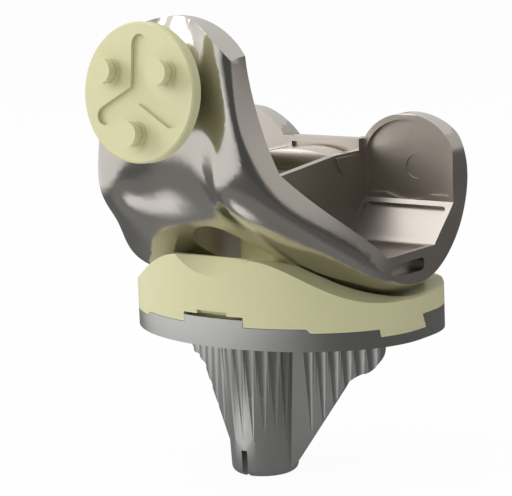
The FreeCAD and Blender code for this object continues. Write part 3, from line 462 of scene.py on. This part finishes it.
def add_light(name, place, width, height, power):
    """Softbox turned towards the part."""
    data = bpy.data.lights.new(name, "AREA")
    data.shape = "RECTANGLE"
    data.size = width
    data.size_y = height
    data.energy = power
    lamp = bpy.data.objects.new(name, data)
    direction = LIGHT_TARGET - Vector(place)
    lamp.rotation_euler = direction.to_track_quat("-Z", "Y").to_euler()
    lamp.location = place
    bpy.context.scene.collection.objects.link(lamp)


def share_by_ray(tree, camera_share, mirror_share):
    """One share for camera rays and another for glossy and transmission rays."""
    path = add_node(tree, "ShaderNodeLightPath")
    mirror = add_node(tree, "ShaderNodeMath", operation="MAXIMUM")
    tree.links.new(path.outputs["Is Glossy Ray"], mirror.inputs[0])
    tree.links.new(path.outputs["Is Transmission Ray"], mirror.inputs[1])
    first = add_node(tree, "ShaderNodeMath", operation="MULTIPLY")
    first.inputs[1].default_value = camera_share
    tree.links.new(path.outputs["Is Camera Ray"], first.inputs[0])
    second = add_node(tree, "ShaderNodeMath", operation="MULTIPLY_ADD")
    second.inputs[1].default_value = mirror_share
    tree.links.new(mirror.outputs[0], second.inputs[0])
    tree.links.new(first.outputs[0], second.inputs[2])
    return second.outputs[0]


def smooth_range(tree, value, span, start, end):
    """Smooth change from start to end while a value crosses its span."""
    change = add_node(tree, "ShaderNodeMapRange", interpolation_type="SMOOTHSTEP")
    change.inputs["From Min"].default_value, change.inputs["From Max"].default_value = span
    change.inputs["To Min"].default_value = start
    change.inputs["To Max"].default_value = end
    tree.links.new(value, change.inputs["Value"])
    return change.outputs["Result"]


def add_floor():
    """Pale floor under the keel's end: white to the camera; for mirrors mostly dark, with a
    glowing bright patch under the front of the far condyle and a glowing pale left side, painted
    light that stands in for lamps and gives the metal its bright reflections."""
    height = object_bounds()[0][2]
    half = FLOOR_HALF_WIDTH
    corners = [(-half, -half), (half, -half), (half, half), (-half, half)]
    mesh = bpy.data.meshes.new("floor")
    mesh.from_pydata([(x, y, height) for x, y in corners], [], [(0, 1, 2, 3)])
    floor = bpy.data.objects.new("floor", mesh)
    bpy.context.scene.collection.objects.link(floor)
    material, tree, shader = principled("pale_floor")
    shader.inputs["Base Color"].default_value = (0.85, 0.85, 0.85, 1.0)
    shader.inputs["Roughness"].default_value = 0.9
    place = add_node(tree, "ShaderNodeTexCoord")
    side = add_node(tree, "ShaderNodeVectorMath", operation="DOT_PRODUCT")
    side.inputs[1].default_value = CAMERA_LEFT
    tree.links.new(place.outputs["Object"], side.inputs[0])
    # painted light: the floor glows in a patch under the far condyle, seen only by mirrors, so
    # the condyle shows a bright reflection there
    reach = add_node(tree, "ShaderNodeVectorMath", operation="DISTANCE")
    reach.inputs[1].default_value = (*PATCH_PLACE, height)
    tree.links.new(place.outputs["Object"], reach.inputs[0])
    glow = smooth_range(tree, reach.outputs["Value"], PATCH_SPAN, 1.0, FLOOR_TONE)
    fade = smooth_range(tree, reach.outputs["Value"], FLOOR_FADE_SPAN, 1.0, FLOOR_FADE_SHARE)
    under = add_node(tree, "ShaderNodeMath", operation="MULTIPLY")
    tree.links.new(glow, under.inputs[0])
    tree.links.new(fade, under.inputs[1])
    # painted light: the floor's left side glows for mirrors only, standing in for a lamp
    far = smooth_range(tree, side.outputs["Value"], FLOOR_LEFT_SPAN, 0.0, FLOOR_LEFT_TONE)
    mirrored = add_node(tree, "ShaderNodeMath", operation="MAXIMUM")
    tree.links.new(under.outputs[0], mirrored.inputs[0])
    tree.links.new(far, mirrored.inputs[1])
    path = add_node(tree, "ShaderNodeLightPath")
    seen = add_node(tree, "ShaderNodeMath", operation="MAXIMUM")
    tree.links.new(mirrored.outputs[0], seen.inputs[0])
    tree.links.new(path.outputs["Is Camera Ray"], seen.inputs[1])
    white = add_node(tree, "ShaderNodeEmission")
    tree.links.new(seen.outputs[0], white.inputs["Color"])
    mix = add_node(tree, "ShaderNodeMixShader")
    tree.links.new(share_by_ray(tree, FLOOR_CAMERA_SHARE, FLOOR_MIRROR_SHARE), mix.inputs[0])
    tree.links.new(shader.outputs[0], mix.inputs[1])
    tree.links.new(white.outputs[0], mix.inputs[2])
    output = next(node for node in tree.nodes if node.type == "OUTPUT_MATERIAL")
    tree.links.new(mix.outputs[0], output.inputs["Surface"])
    mesh.materials.append(material)


def add_room():
    """World: white to the camera, and to mirrors pale on the left and behind, dark elsewhere."""
    world = bpy.data.worlds.new("studio")
    bpy.context.scene.world = world
    world.use_nodes = True
    tree = world.node_tree
    room = next(node for node in tree.nodes if node.type == "BACKGROUND")
    room.inputs["Strength"].default_value = 1.0
    place = add_node(tree, "ShaderNodeTexCoord")
    side = add_node(tree, "ShaderNodeVectorMath", operation="DOT_PRODUCT")
    side.inputs[1].default_value = CAMERA_LEFT
    tree.links.new(place.outputs["Generated"], side.inputs[0])
    left = smooth_range(tree, side.outputs["Value"], ROOM_LEFT_SPAN,
                        ROOM_RIGHT_TONE, ROOM_LEFT_TONE)
    parts = add_node(tree, "ShaderNodeSeparateXYZ")
    tree.links.new(place.outputs["Generated"], parts.inputs[0])
    raised = smooth_range(tree, parts.outputs["Z"], ROOM_RISE_SPAN, 0.0, ROOM_BEHIND_TONE)
    behind = smooth_range(tree, parts.outputs["Y"], ROOM_BEHIND_SPAN, 0.0, 1.0)
    glow = add_node(tree, "ShaderNodeMath", operation="MULTIPLY")
    tree.links.new(raised, glow.inputs[0])
    tree.links.new(behind, glow.inputs[1])
    total = add_node(tree, "ShaderNodeMath", operation="ADD", use_clamp=True)
    tree.links.new(left, total.inputs[0])
    tree.links.new(glow.outputs[0], total.inputs[1])
    plain = add_node(tree, "ShaderNodeMix", data_type="FLOAT")
    path = add_node(tree, "ShaderNodeLightPath")
    tree.links.new(path.outputs["Is Diffuse Ray"], plain.inputs["Factor"])
    tree.links.new(total.outputs[0], plain.inputs["A"])
    plain.inputs["B"].default_value = ROOM_LEVEL
    tree.links.new(plain.outputs["Result"], room.inputs["Color"])
    white = add_node(tree, "ShaderNodeBackground")
    white.inputs["Color"].default_value = (1.0, 1.0, 1.0, 1.0)
    mix = add_node(tree, "ShaderNodeMixShader")
    tree.links.new(share_by_ray(tree, 1.0, ROOM_MIRROR_SHARE), mix.inputs[0])
    tree.links.new(room.outputs[0], mix.inputs[1])
    tree.links.new(white.outputs[0], mix.inputs[2])
    output = next(node for node in tree.nodes if node.type == "OUTPUT_WORLD")
    tree.links.new(mix.outputs[0], output.inputs["Surface"])


femoral = dressed_copy("femoral_component", "femoral_shell", [polished_alloy, blasted_alloy],
                       femoral_finish, FEMORAL_EDGE)
tray = dressed_copy("tibial_tray", "tray_and_keel", [satin_tray])
insert = dressed_copy("tibial_insert", "bearing_insert", [bearing_plastic])
patella = dressed_copy("patella_button", "patella_dome", [bearing_plastic])
ribs = keel_ribs()

add_camera()
add_floor()
add_room()
add_light("left_softbox", (-0.60, -0.42, 0.35), 0.40, 0.50, 2.6)
add_light("front_softbox", (-0.08, -0.80, 0.45), 0.25, 0.25, 1.0)
add_light("top_softbox", (-0.15, 0.05, 0.75), 0.70, 0.70, 2.6)
bpy.context.scene.view_settings.view_transform = "Standard"

for piece, body, node, slot in (
    (femoral, "femur", "femoral_component", "polished_alloy"),
    (tray, "tibia", "tibial_tray", "satin_titanium"),
    (insert, "tibia", "tibial_insert", "bearing_plastic"),
    (patella, "patella", "patella_button", "bearing_plastic"),
):
    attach(piece, body)
    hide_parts(node)

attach(ribs, "tibia")
